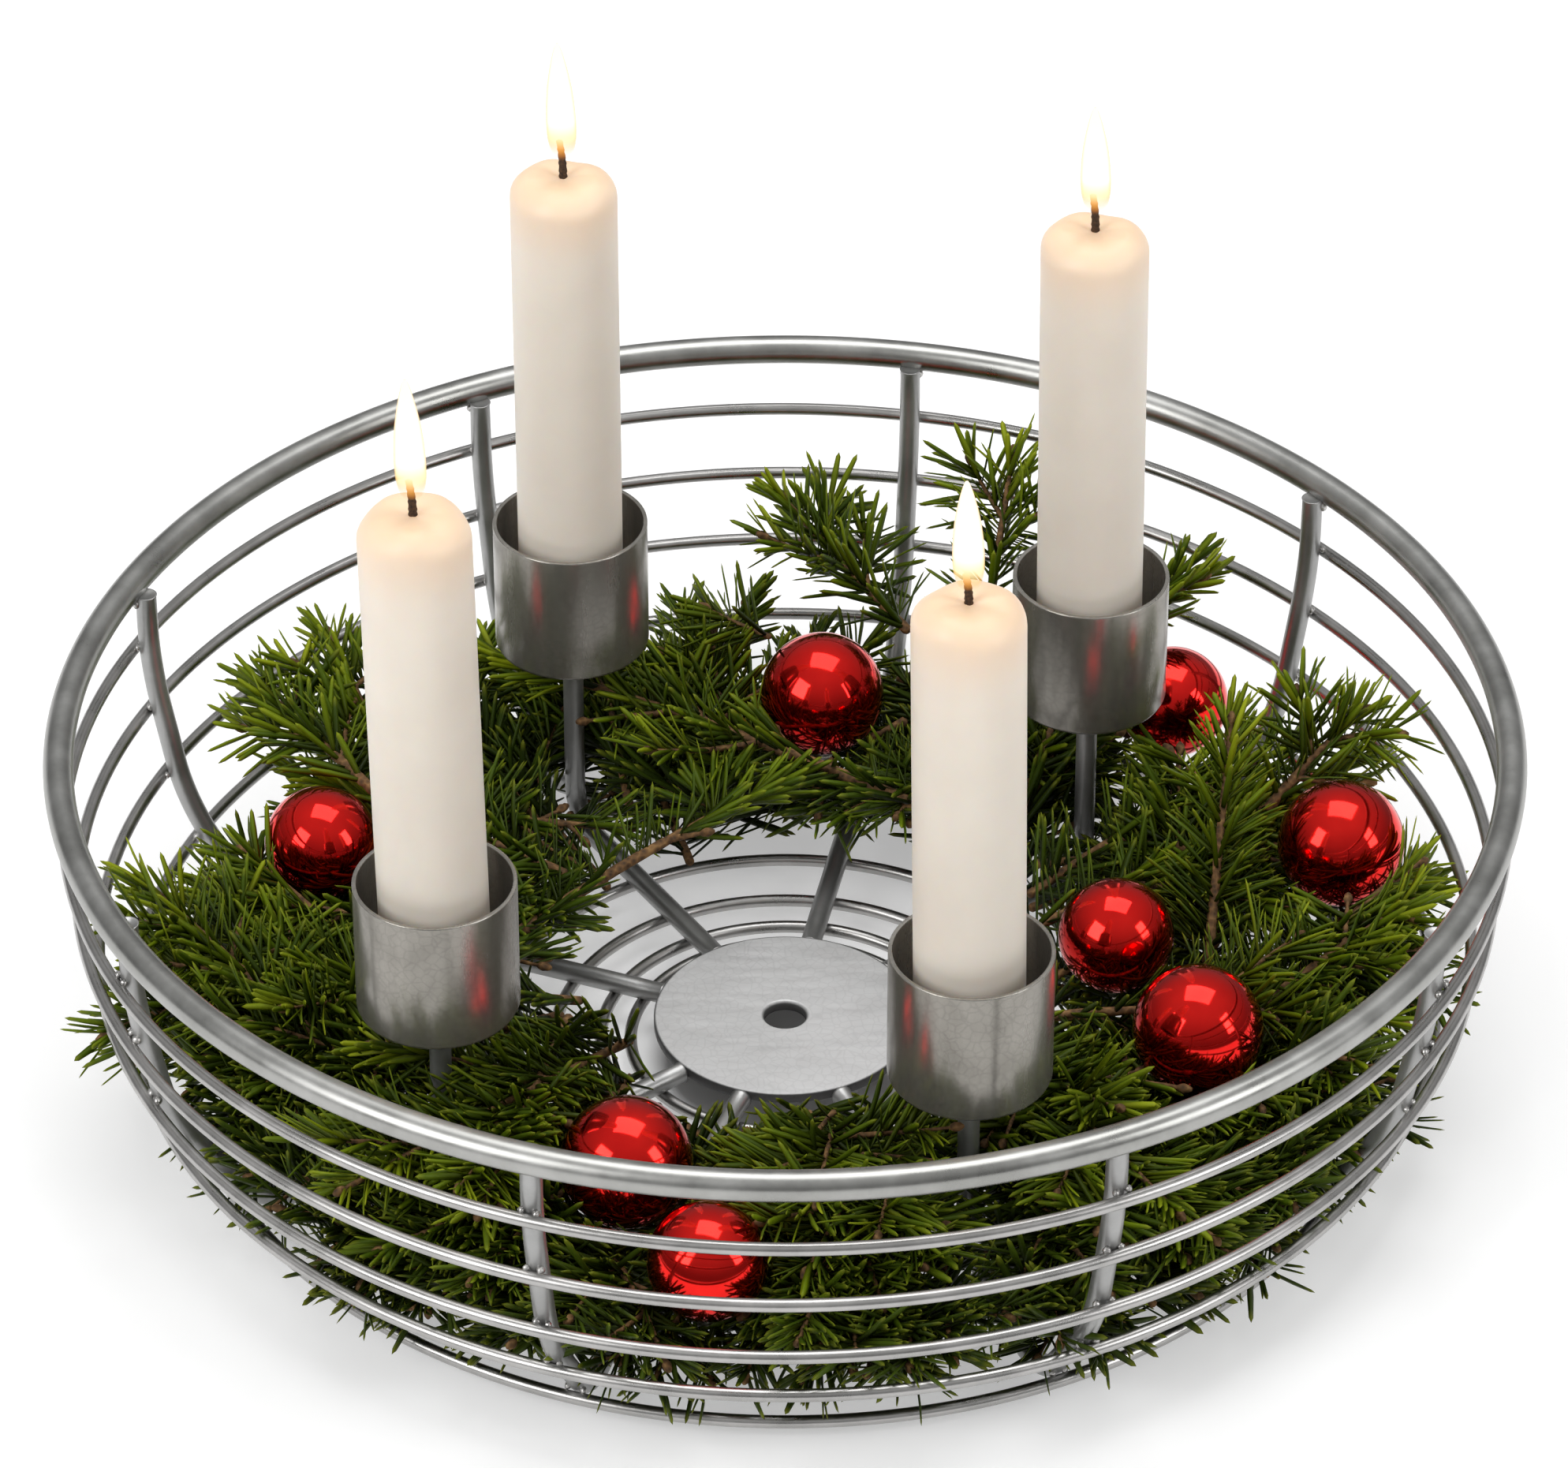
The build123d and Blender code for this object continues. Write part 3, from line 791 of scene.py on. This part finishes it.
# Fir boughs
# Cut fir twigs laid from the disc out to the wall: brown scaly wood that forks, flat blunt needles
# in a dense brush along it, and small resin buds at the tips. Several twigs make each bough; it lies loose.
needle_random = np.random.default_rng(240)
vary = needle_random.uniform
stem_azimuths = [p[0] for p in candle_places.values()]
bough_places = ("back_right", "back", "back_left", "left_back", "left")
bough_places += ("front_left", "front", "front_right", "right", "right_back")
bough_names = ["fir_bough_" + place for place in bough_places]
bough_inner = (0.057, 0.056, 0.054, 0.050, 0.049, 0.046, 0.042, 0.046, 0.049, 0.054)
bough_edges = []
for index, count in enumerate((2, 3, 2, 3)):
    start = stem_azimuths[index]
    step = ((stem_azimuths[(index + 1) % 4] - start) % 360) / count
    bough_edges.extend((start + step * k) % 360 for k in range(count))


def bough_at(azimuth):
    """Number of the bough whose span an azimuth falls in."""
    return min(range(len(bough_edges)), key=lambda k: (azimuth - bough_edges[k]) % 360)


def round_point(radius, azimuth, height):
    """Point about the bowl's axis, in metres."""
    return radius * flat_ways(azimuth)[0] + height * up_way


lowest_twig = 0.0045


def clear_of_hard_pieces(points, margin):
    """True where a point is outside the baubles, cups, stems, hoops and disc by the margin."""
    free = np.ones(len(points), bool)
    for x, y, height, size in bauble_balls:
        free &= norm(points - np.array([x, y, height]), axis=1) > size + margin
    for x, y in candle_spots.values():
        off = np.hypot(points[:, 0] - x, points[:, 1] - y)
        free &= ~((off < cup_radius + margin) & (points[:, 2] > cup_low - margin))
        free &= off > rod_radius + margin
    flat = np.hypot(points[:, 0], points[:, 1])
    for radius, height in hoop_rings:
        free &= np.hypot(flat - radius, points[:, 2] - height) > hoop_tube + margin
    free &= np.hypot(flat - rim_radius, points[:, 2] - rim_height) > rim_tube + margin
    free &= ~((flat < disc_radius + margin) & (points[:, 2] < disc_high.z + margin))
    free &= points[:, 2] > lowest_twig
    return free


open_way = np.array([0.0, -0.82, 0.57])
ball_reach = 0.05
spot_reach = 0.07
spot_width = 0.0036
spot_step = 0.004
middle_turns = (0, 60, 100, 150, 200, 230, 310, 360)
middle_radii = (48, 45, 40, 41, 44, 37, 37, 48)
disc_front = range(214, 322, 6)
disc_front_radius = 0.021
open_spokes = ((121.6, 0.090), (158.5, 0.060), (79.0, 0.056))
stem_spots = []
lowest_open = {"back_left": 0.014, "back_right": 0.026, "front_left": 0.050, "front_right": 0.036}
for place, lowest in lowest_open.items():
    for height in np.arange(lowest, cup_low, spot_step):
        stem_spots.append(np.array([*candle_spots[place], height]))
open_spots = list(stem_spots)
for azimuth, reach in open_spokes:
    for radius in np.arange(disc_radius, reach, spot_step):
        open_spots.append(round_point(radius, azimuth, spoke_height))
for azimuth in disc_front:
    open_spots.append(round_point(disc_front_radius, azimuth, spoke_height))


def before(points, spot):
    """How far points are before a spot, along the open way, and off to the side of it."""
    out = points - spot
    along = out @ open_way
    return along, norm(out - along[:, None] * open_way, axis=1)


def lies_open(points, share, spots):
    """True where a point hides neither the front of a bauble, nor one of the spots, nor the middle."""
    free = np.ones(len(points), bool)
    for x, y, height, size in bauble_balls:
        along, off = before(points, np.array([x, y, height]))
        low = points[:, 2] - height < -0.35 * size
        free &= (along < 0) | (along > ball_reach) | (off > size * share) | low
    for spot in spots:
        along, off = before(points, spot)
        free &= (along < 0) | (along > spot_reach) | (off > spot_width)
    azimuth = np.degrees(np.arctan2(points[:, 1], points[:, 0])) % 360
    middle = np.interp(azimuth, middle_turns, middle_radii) / 1000
    return free & (np.hypot(points[:, 0], points[:, 1]) > middle)


def twig_curve(start, end, lift, count=26):
    """Gently bowed twig from start to end."""
    middle = (start + end) / 2 + lift * up_way
    t = np.linspace(0, 1, count)[:, None]
    return (1 - t) ** 2 * start + 2 * t * (1 - t) * middle + t**2 * end


def grow_twigs(start, end, wood, sides, side_share):
    """One twig and its side twigs in a flat spray: a list of (curve, wood radius, side way)."""
    main = twig_curve(start, end, vary(-0.002, 0.006))
    run = end - start
    length = norm(run)
    flat_way = np.cross(run, up_way)
    flat_way /= norm(flat_way)
    roll = vary(-0.45, 0.45)
    lift_way = np.cross(flat_way, run / length)
    across = flat_way * cos(roll) + lift_way * sin(roll)
    spray = [(main, wood, across)]
    for k in range(sides):
        t = 0.22 + 0.56 * (k + vary(0.2, 0.8)) / sides
        way = 1 if k % 2 == 0 else -1
        at = main[int(t * (len(main) - 1))]
        turn = radians(46 + vary(-8, 8))
        head = run / length * cos(turn) + across * way * sin(turn)
        reach = max(0.016, length * side_share * (1.1 - 0.6 * t) * vary(0.85, 1.15))
        side = twig_curve(at, at + head * reach, vary(-0.002, 0.003), 16)
        spray.append((side, wood * 0.62, across))
    return spray


needle_spacing = 0.00058
needle_length = 0.0166
needle_width = 0.00078
needle_roll = 1.28


def place_needles(curve, across, spacing):
    """Needle roots, headings, face ways, lengths, widths and tones along one twig; the tones vary at
    random, lighten towards the twig's tip and carry painted shade on the lower needles.
    """
    steps = norm(np.diff(curve, axis=0), axis=1)
    total = steps.sum()
    count = max(4, int(total / spacing))
    marks = (np.arange(count) + vary(0.1, 0.9, count)) / count
    along = np.concatenate([[0], np.cumsum(steps)]) / total
    roots = np.stack([np.interp(marks, along, curve[:, k]) for k in range(3)], axis=1)
    heads = unit(np.gradient(curve, axis=0))
    head = unit(np.stack([np.interp(marks, along, heads[:, k]) for k in range(3)], axis=1))
    up = unit(np.cross(across, head))
    up *= np.where(up[:, 2:3] < 0, -1.0, 1.0)
    side = np.cross(head, up)
    roll = needle_random.normal(0, 0.48, count)
    roll = np.where(needle_random.random(count) < 0.5, roll + needle_roll, roll - needle_roll)
    outward = up * np.cos(roll)[:, None] + side * np.sin(roll)[:, None]
    lean = np.radians(58 - 34 * marks**3 + needle_random.normal(0, 7, count))
    way = head * np.cos(lean)[:, None] + outward * np.sin(lean)[:, None]
    length = (needle_length + needle_random.normal(0, 0.0018, count)) * (1.0 - 0.32 * marks**4)
    face = unit(np.cross(way, np.cross(outward, way)))
    twist = needle_random.normal(0, 0.35, count)
    sideways = np.cross(way, face)
    face = face * np.cos(twist)[:, None] + sideways * np.sin(twist)[:, None]
    width = np.clip(needle_width + needle_random.normal(0, 0.00008, count), 0.0006, 0.0010)
    # Painted shade: lower needles get a darker tone, in place of the shade the needles above cast on them
    depth = np.clip((roots[:, 2] - 0.018) / 0.026, 0.10, 1.0)
    tone_with_painted_shade = np.clip((0.05 + 0.55 * needle_random.random(count) + 0.42 * marks) * depth, 0.0, 1.0)
    return roots, way, face, length, width, tone_with_painted_shade


def needle_mesh(roots, way, face, length, width, tone_with_painted_shade):
    """Flat blunt needles with a keel: four rings of four points and a tip each."""
    count = len(roots)
    stations = np.array([0.0, 0.16, 0.62, 0.92])
    breadth = np.array([0.45, 0.85, 1.0, 0.72])
    side = np.cross(way, face)
    bend = needle_random.normal(0.05, 0.07, count)
    rings = []
    for t, b in zip(stations, breadth):
        middle = roots + way * (length * t)[:, None] + face * (length * bend * t * t)[:, None]
        half = side * (width * b)[:, None]
        thick = face * (width * b * 0.38)[:, None]
        rings.append(np.stack([middle + half, middle + thick, middle - half, middle - thick * 0.8], axis=1))
    tip = roots + way * length[:, None] + face * (length * bend)[:, None]
    points = np.concatenate(rings + [tip[:, None, :]], axis=1).reshape(-1, 3)
    one = [(0, 1, 2, 3)]
    for i in range(3):
        for j in range(4):
            j2 = (j + 1) % 4
            one.append((i * 4 + j2, i * 4 + j, i * 4 + 4 + j, i * 4 + 4 + j2))
    one.extend((12 + (j + 1) % 4, 12 + j, 16) for j in range(4))
    size = 4 * len(stations) + 1
    faces = [tuple(n * size + k for k in face_points) for n in range(count) for face_points in one]
    tone = np.repeat(tone_with_painted_shade, size)
    under = np.tile(np.array([0.5, 0.0, 0.5, 1.0] * 4 + [0.3]), count)
    reach = np.tile(np.repeat(stations, 4).tolist() + [1.0], count)
    return points, faces, tone, under, reach


def wood_mesh(curve, radius, sides=8):
    """Tapered scaly twig with the scars of old needles and a bud at its end."""
    heads = unit(np.gradient(curve, axis=0))
    rows = [(curve[0] - heads[0] * radius * 0.6, heads[0], radius * 0.55)]
    for i, (centre, head) in enumerate(zip(curve, heads)):
        rows.append((centre, head, radius * (1.0 - 0.5 * i / (len(curve) - 1))))
    for step, size in ((0.0006, 0.0008), (0.0016, 0.0011), (0.0027, 0.0009), (0.0036, 0.0004)):
        rows.append((curve[-1] + heads[-1] * step, heads[-1], size))
    points = []
    faces = []
    for i, (centre, head, size) in enumerate(rows):
        side = np.cross(head, up_way)
        side /= max(1e-6, norm(side))
        third = np.cross(side, head)
        for j in range(sides):
            b = 2 * pi * (j + 0.5 * (i % 2)) / sides
            knob = size * (1.0 + 0.14 * needle_random.random())
            points.append(centre + side * knob * cos(b) + third * knob * sin(b))
            if i:
                j2 = (j + 1) % sides
                faces.append(((i - 1) * sides + j, i * sides + j, i * sides + j2, (i - 1) * sides + j2))
    faces.append(tuple(range(sides)))
    faces.append(tuple(len(points) - 1 - j for j in range(sides)))
    return points, faces


needle_green, tree, shader, where = new_finish("fir_needle")
along_needle = mark(tree, "reach")
# The darkest tones serve the painted shade of the lower needles
needle_tones_with_painted_shade = [
    (0.0, (0.008, 0.016, 0.001)),
    (0.35, (0.046, 0.080, 0.002)),
    (0.7, (0.130, 0.185, 0.003)),
    (1.0, (0.310, 0.360, 0.010)),
]
needle_under = (0.12, 0.17, 0.015, 1.0)
needle_tip = (0.32, 0.34, 0.02, 1.0)
under_share = maths(tree, "MULTIPLY", mark(tree, "under"), 0.22)
tip_share = span(tree, along_needle, (0.80, 1.0), (0.0, 0.45))
green = blend(tree, under_share, ramp(tree, mark(tree, "tone"), needle_tones_with_painted_shade), needle_under)
green = blend(tree, tip_share, green, needle_tip)
# Painted shade: each needle darkens towards its root, in place of the shade deep in the spray along the
# twig
painted_root_shade = ramp(tree, along_needle, [(0.0, (0.30, 0.26, 0.22)), (0.7, (1.0, 1.0, 1.0))])
speck = noise(tree, where, scale=900.0, detail=2.0)
feed(
    shader,
    Base_Color=blend(tree, 1.0, green, painted_root_shade, "MULTIPLY"),
    Roughness=span(tree, speck, (0.3, 0.7), (0.34, 0.56)),
    Specular_IOR_Level=0.14,
)
twig_bark, tree, shader, where = new_finish("twig_bark")
scales = put(tree, "TexVoronoi", Vector=where, Scale=700.0).outputs["Distance"]
bark_tones = [(0.0, (0.030, 0.014, 0.004)), (0.6, (0.14, 0.068, 0.020)), (1.0, (0.27, 0.15, 0.05))]
bark_bump = put(tree, "Bump", Strength=0.6, Distance=0.0004, Height=scales)
feed(shader, Base_Color=ramp(tree, scales, bark_tones), Roughness=0.8, Normal=bark_bump.outputs["Normal"])

# Twigs that stand out: start and tip as (radius in mm, azimuth, height in mm), side twigs, their share
# of the length and, where it isn't the usual one, the wood's radius in metres
twig_wood = 0.0012
main_twigs = [
    ((120, 75.5, 43), (147, 90, 61), 3, 0.55, 0.0013),
    ((122, 66, 50), (149, 68, 79), 2, 0.45),
    ((130, 56, 46), (148, 47, 63), 2, 0.50),
    ((124, 49, 34), (146, 38, 48), 2, 0.45),
    ((120, 17, 47), (148, 22, 60), 3, 0.50, 0.0013),
    ((99, 355, 34), (111, 19, 70), 0, 0.40, 0.0013),
    ((101, 2, 30), (124, 31, 52), 2, 0.45),
    ((114, 345, 37), (145, 357, 50), 2, 0.45, 0.0013),
    ((120, 352, 36), (148, 3, 50), 2, 0.45),
    ((112, 330, 34), (143, 340, 40), 3, 0.45),
    ((104, 160, 52), (145, 150.5, 57), 3, 0.50, 0.0013),
    ((108, 151, 46), (144, 140, 57), 3, 0.50),
    ((114, 202, 36), (149, 181, 53), 4, 0.45, 0.0013),
    ((122, 190, 36), (160, 194, 36), 2, 0.40),
    ((63, 60, 34), (124, 126, 46), 5, 0.28, 0.0015),
    ((63, 172, 30), (58.5, 90, 38), 4, 0.30, 0.0015),
    ((80, 101, 34), (113, 99, 44), 2, 0.45),
    ((88, 88, 37), (121, 94, 49), 2, 0.45),
    ((100, 250, 24), (60, 263, 19), 3, 0.45),
    ((98, 279, 24), (64, 288, 19), 3, 0.45),
    ((90, 262, 26), (134, 259, 23), 2, 0.45, 0.0013),
    ((94, 224, 30), (122, 234, 30), 3, 0.45),
    ((110, 226, 22), (143, 229, 20), 2, 0.45),
    ((100, 244, 22), (137, 245, 20), 2, 0.45),
    ((106, 306, 26), (143, 312, 28), 3, 0.45),
    ((112, 358, 30), (150, 9, 34), 3, 0.50),
    ((112, 350, 30), (151, 357, 38), 3, 0.50),
    ((94, 172, 36), (60, 152, 28), 3, 0.45),
    ((92, 186, 34), (58, 176, 26), 3, 0.45),
    ((90, 146, 34), (64, 128, 30), 3, 0.45),
    ((94, 72, 34), (58, 98, 30), 3, 0.45),
    ((90, 56, 34), (58, 76, 30), 3, 0.45),
]
grown = []
for *ends, sides, share, wood in (twig if len(twig) == 5 else (*twig, twig_wood) for twig in main_twigs):
    start, end = (round_point(radius / 1000, azimuth, height / 1000) for radius, azimuth, height in ends)
    grown.append((start, end, wood, sides, share))
# Filling twigs in layers: how many, tip radius, heights of start and tip
fill_layers = ((34, 0.136, 0.017, 0.018), (32, 0.143, 0.025, 0.030), (24, 0.143, 0.034, 0.042))
top_layer = 0.03
open_back = (55, 140)
fill_wood = 0.0011
for count, outer, low, high in fill_layers:
    for k in range(count):
        for _ in range(40):
            azimuth = 360 * (k + vary(0.0, 1.0)) / count
            inner = bough_inner[bough_at(azimuth)] + vary(0.003, 0.020)
            if low > top_layer and open_back[0] < azimuth < open_back[1]:
                break
            swing = vary(-30, 30)
            start = round_point(inner, azimuth, low + vary(-0.002, 0.004))
            end = round_point(outer + vary(-0.014, 0.004), azimuth + swing, high)
            end[2] += vary(-0.003, 0.005)
            if clear_of_hard_pieces(twig_curve(start, end, 0.0), 0.0018).all():
                grown.append((start, end, fill_wood, 3, 0.44))
                break
# Low outer twigs round the front
for azimuth in np.linspace(176, 348, 30):
    swing = vary(-16, 16)
    inner = vary(0.104, 0.118)
    start = round_point(inner, azimuth, vary(0.016, 0.024))
    outer = vary(0.138, 0.147)
    end = round_point(outer, azimuth + swing, vary(0.016, 0.027))
    grown.append((start, end, fill_wood, 3, 0.50))

lying_wood = 0.0014
wood_margin = 0.0014
needle_margin = 0.0008
bough_sprays = {name: [] for name in bough_names}
for start, end, wood, sides, share in grown:
    middle = (start + end) / 2
    owner = bough_names[bough_at(degrees(atan2(middle[1], middle[0])) % 360)]
    bough_sprays[owner].append(grow_twigs(start, end, wood, sides, share))

for name, sprays in bough_sprays.items():
    needle_sets = []
    twigs = ([], [])
    for spray in sprays:
        for curve, wood, across in spray:
            lying = wood > lying_wood
            free = lies_open(curve, 0.9, [] if lying else open_spots)
            free &= clear_of_hard_pieces(curve, wood_margin)
            if not free.all():
                curve = curve[: int(np.argmin(free))]
            if len(curve) < 5:
                continue
            add_mesh(twigs, wood_mesh(curve, wood))
            needles = place_needles(curve, across, needle_spacing)
            free = np.ones(len(needles[0]), bool)
            for t in (0.15, 0.5, 0.8, 1.0):
                spots = needles[0] + needles[1] * (needles[3] * t)[:, None]
                free &= clear_of_hard_pieces(spots, needle_margin)
                free &= lies_open(spots, 0.86, stem_spots if lying else open_spots)
            needle_sets.append([column[free] for column in needles])
    needles = [np.concatenate(column) for column in zip(*needle_sets)]
    points, faces, tone, under, reach = needle_mesh(*needles)
    shades = {"tone": tone, "under": under, "reach": reach}
    mesh_piece(name + "_needles", (points, faces), needle_green, name, shades=shades)
    mesh_piece(name + "_wood", twigs, twig_bark)

# Floor, light and camera
# A pale floor, plain but for a painted shadow under the centre disc, soft studio light and the camera of
# the photo.
floor_mesh = bpy.data.meshes.new("floor")
floor_mesh.from_pydata([(-4, -4, 0), (4, -4, 0), (4, 4, 0), (-4, 4, 0)], [], [(0, 1, 2, 3)])
floor = bpy.data.objects.new("floor", floor_mesh)
scene.collection.objects.link(floor)
floor_with_painted_shadow, tree, shader, where = new_finish("floor_with_painted_shadow")
ray = put(tree, "LightPath").outputs
through = maths(tree, "MAXIMUM", ray["Is Glossy Ray"], ray["Is Transmission Ray"])
seen = maths(tree, "MAXIMUM", ray["Is Camera Ray"], through)
from_axis = put(tree, "VectorMath", operation="LENGTH", Vector=where).outputs["Value"]
# Painted shadow: the floor's extra brightness for camera and glossy rays stops under the centre disc, so
# the floor seen through its hole stays dark
lift_with_painted_disc_shadow = span(tree, from_axis, (0.028, 0.036), (0.0, 0.40))
feed(
    shader,
    Base_Color=ramp(tree, seen, [(0.0, (0.84, 0.84, 0.84)), (1.0, (0.66, 0.66, 0.66))]),
    Emission_Color=maths(tree, "MULTIPLY", seen, lift_with_painted_disc_shadow),
    Emission_Strength=1.0,
    Roughness=0.9,
)
floor_mesh.materials.append(floor_with_painted_shadow)

world = bpy.data.worlds.new("studio")
scene.world = world
world.use_nodes = True
sky = world.node_tree
sky.nodes.clear()
sky_height = put(sky, "SeparateXYZ", Vector=put(sky, "TexCoord").outputs["Generated"]).outputs["Z"]
sky_tones = [(0.0, (0.22, 0.22, 0.22)), (0.35, (0.36, 0.36, 0.36)), (1.0, (1.0, 1.0, 1.0))]
sky_shade = ramp(sky, span(sky, sky_height, (-0.2, 0.9)), sky_tones)
sky_soft = put(sky, "Background", Color=sky_shade, Strength=0.62)
put(sky, "OutputWorld", Surface=sky_soft.outputs["Background"])


def soft_light(name, place, aim, width, depth, power):
    """One rectangular studio light that faces a point."""
    lamp = bpy.data.lights.new(name, "AREA")
    lamp.shape = "RECTANGLE"
    lamp.size = width
    lamp.size_y = depth
    lamp.energy = power
    holder = bpy.data.objects.new(name, lamp)
    holder.location = place
    holder.rotation_euler = (Vector(aim) - Vector(place)).to_track_quat("-Z", "Y").to_euler()
    scene.collection.objects.link(holder)


soft_light("overhead_light", (0.1, 0.35, 1.9), (0.0, 0.0, 0.08), width=1.4, depth=1.1, power=16.5)
soft_light("left_window", (-1.5, -1.15, 1.3), (0.0, 0.0, 0.12), width=1.1, depth=1.2, power=22.5)
soft_light("right_window", (1.6, -0.8, 1.0), (0.0, 0.0, 0.1), width=0.6, depth=1.0, power=9.5)

camera_data = bpy.data.cameras.new("photo_camera")
camera_data.sensor_fit = "HORIZONTAL"
camera_data.sensor_width = 36.0
camera_data.lens = 169.7
camera_data.shift_x = -0.0007
camera_data.clip_start = 0.05
camera = bpy.data.objects.new("photo_camera", camera_data)
camera_distance = 10.2 * rim_radius
camera_rise = radians(35)
camera.location = (
    0.0,
    -camera_distance * cos(camera_rise),
    rim_height + camera_distance * sin(camera_rise),
)
camera.rotation_euler = (pi / 2 - camera_rise, 0.0, 0.0)
scene.collection.objects.link(camera)
scene.camera = camera
scene.view_settings.view_transform = "Standard"
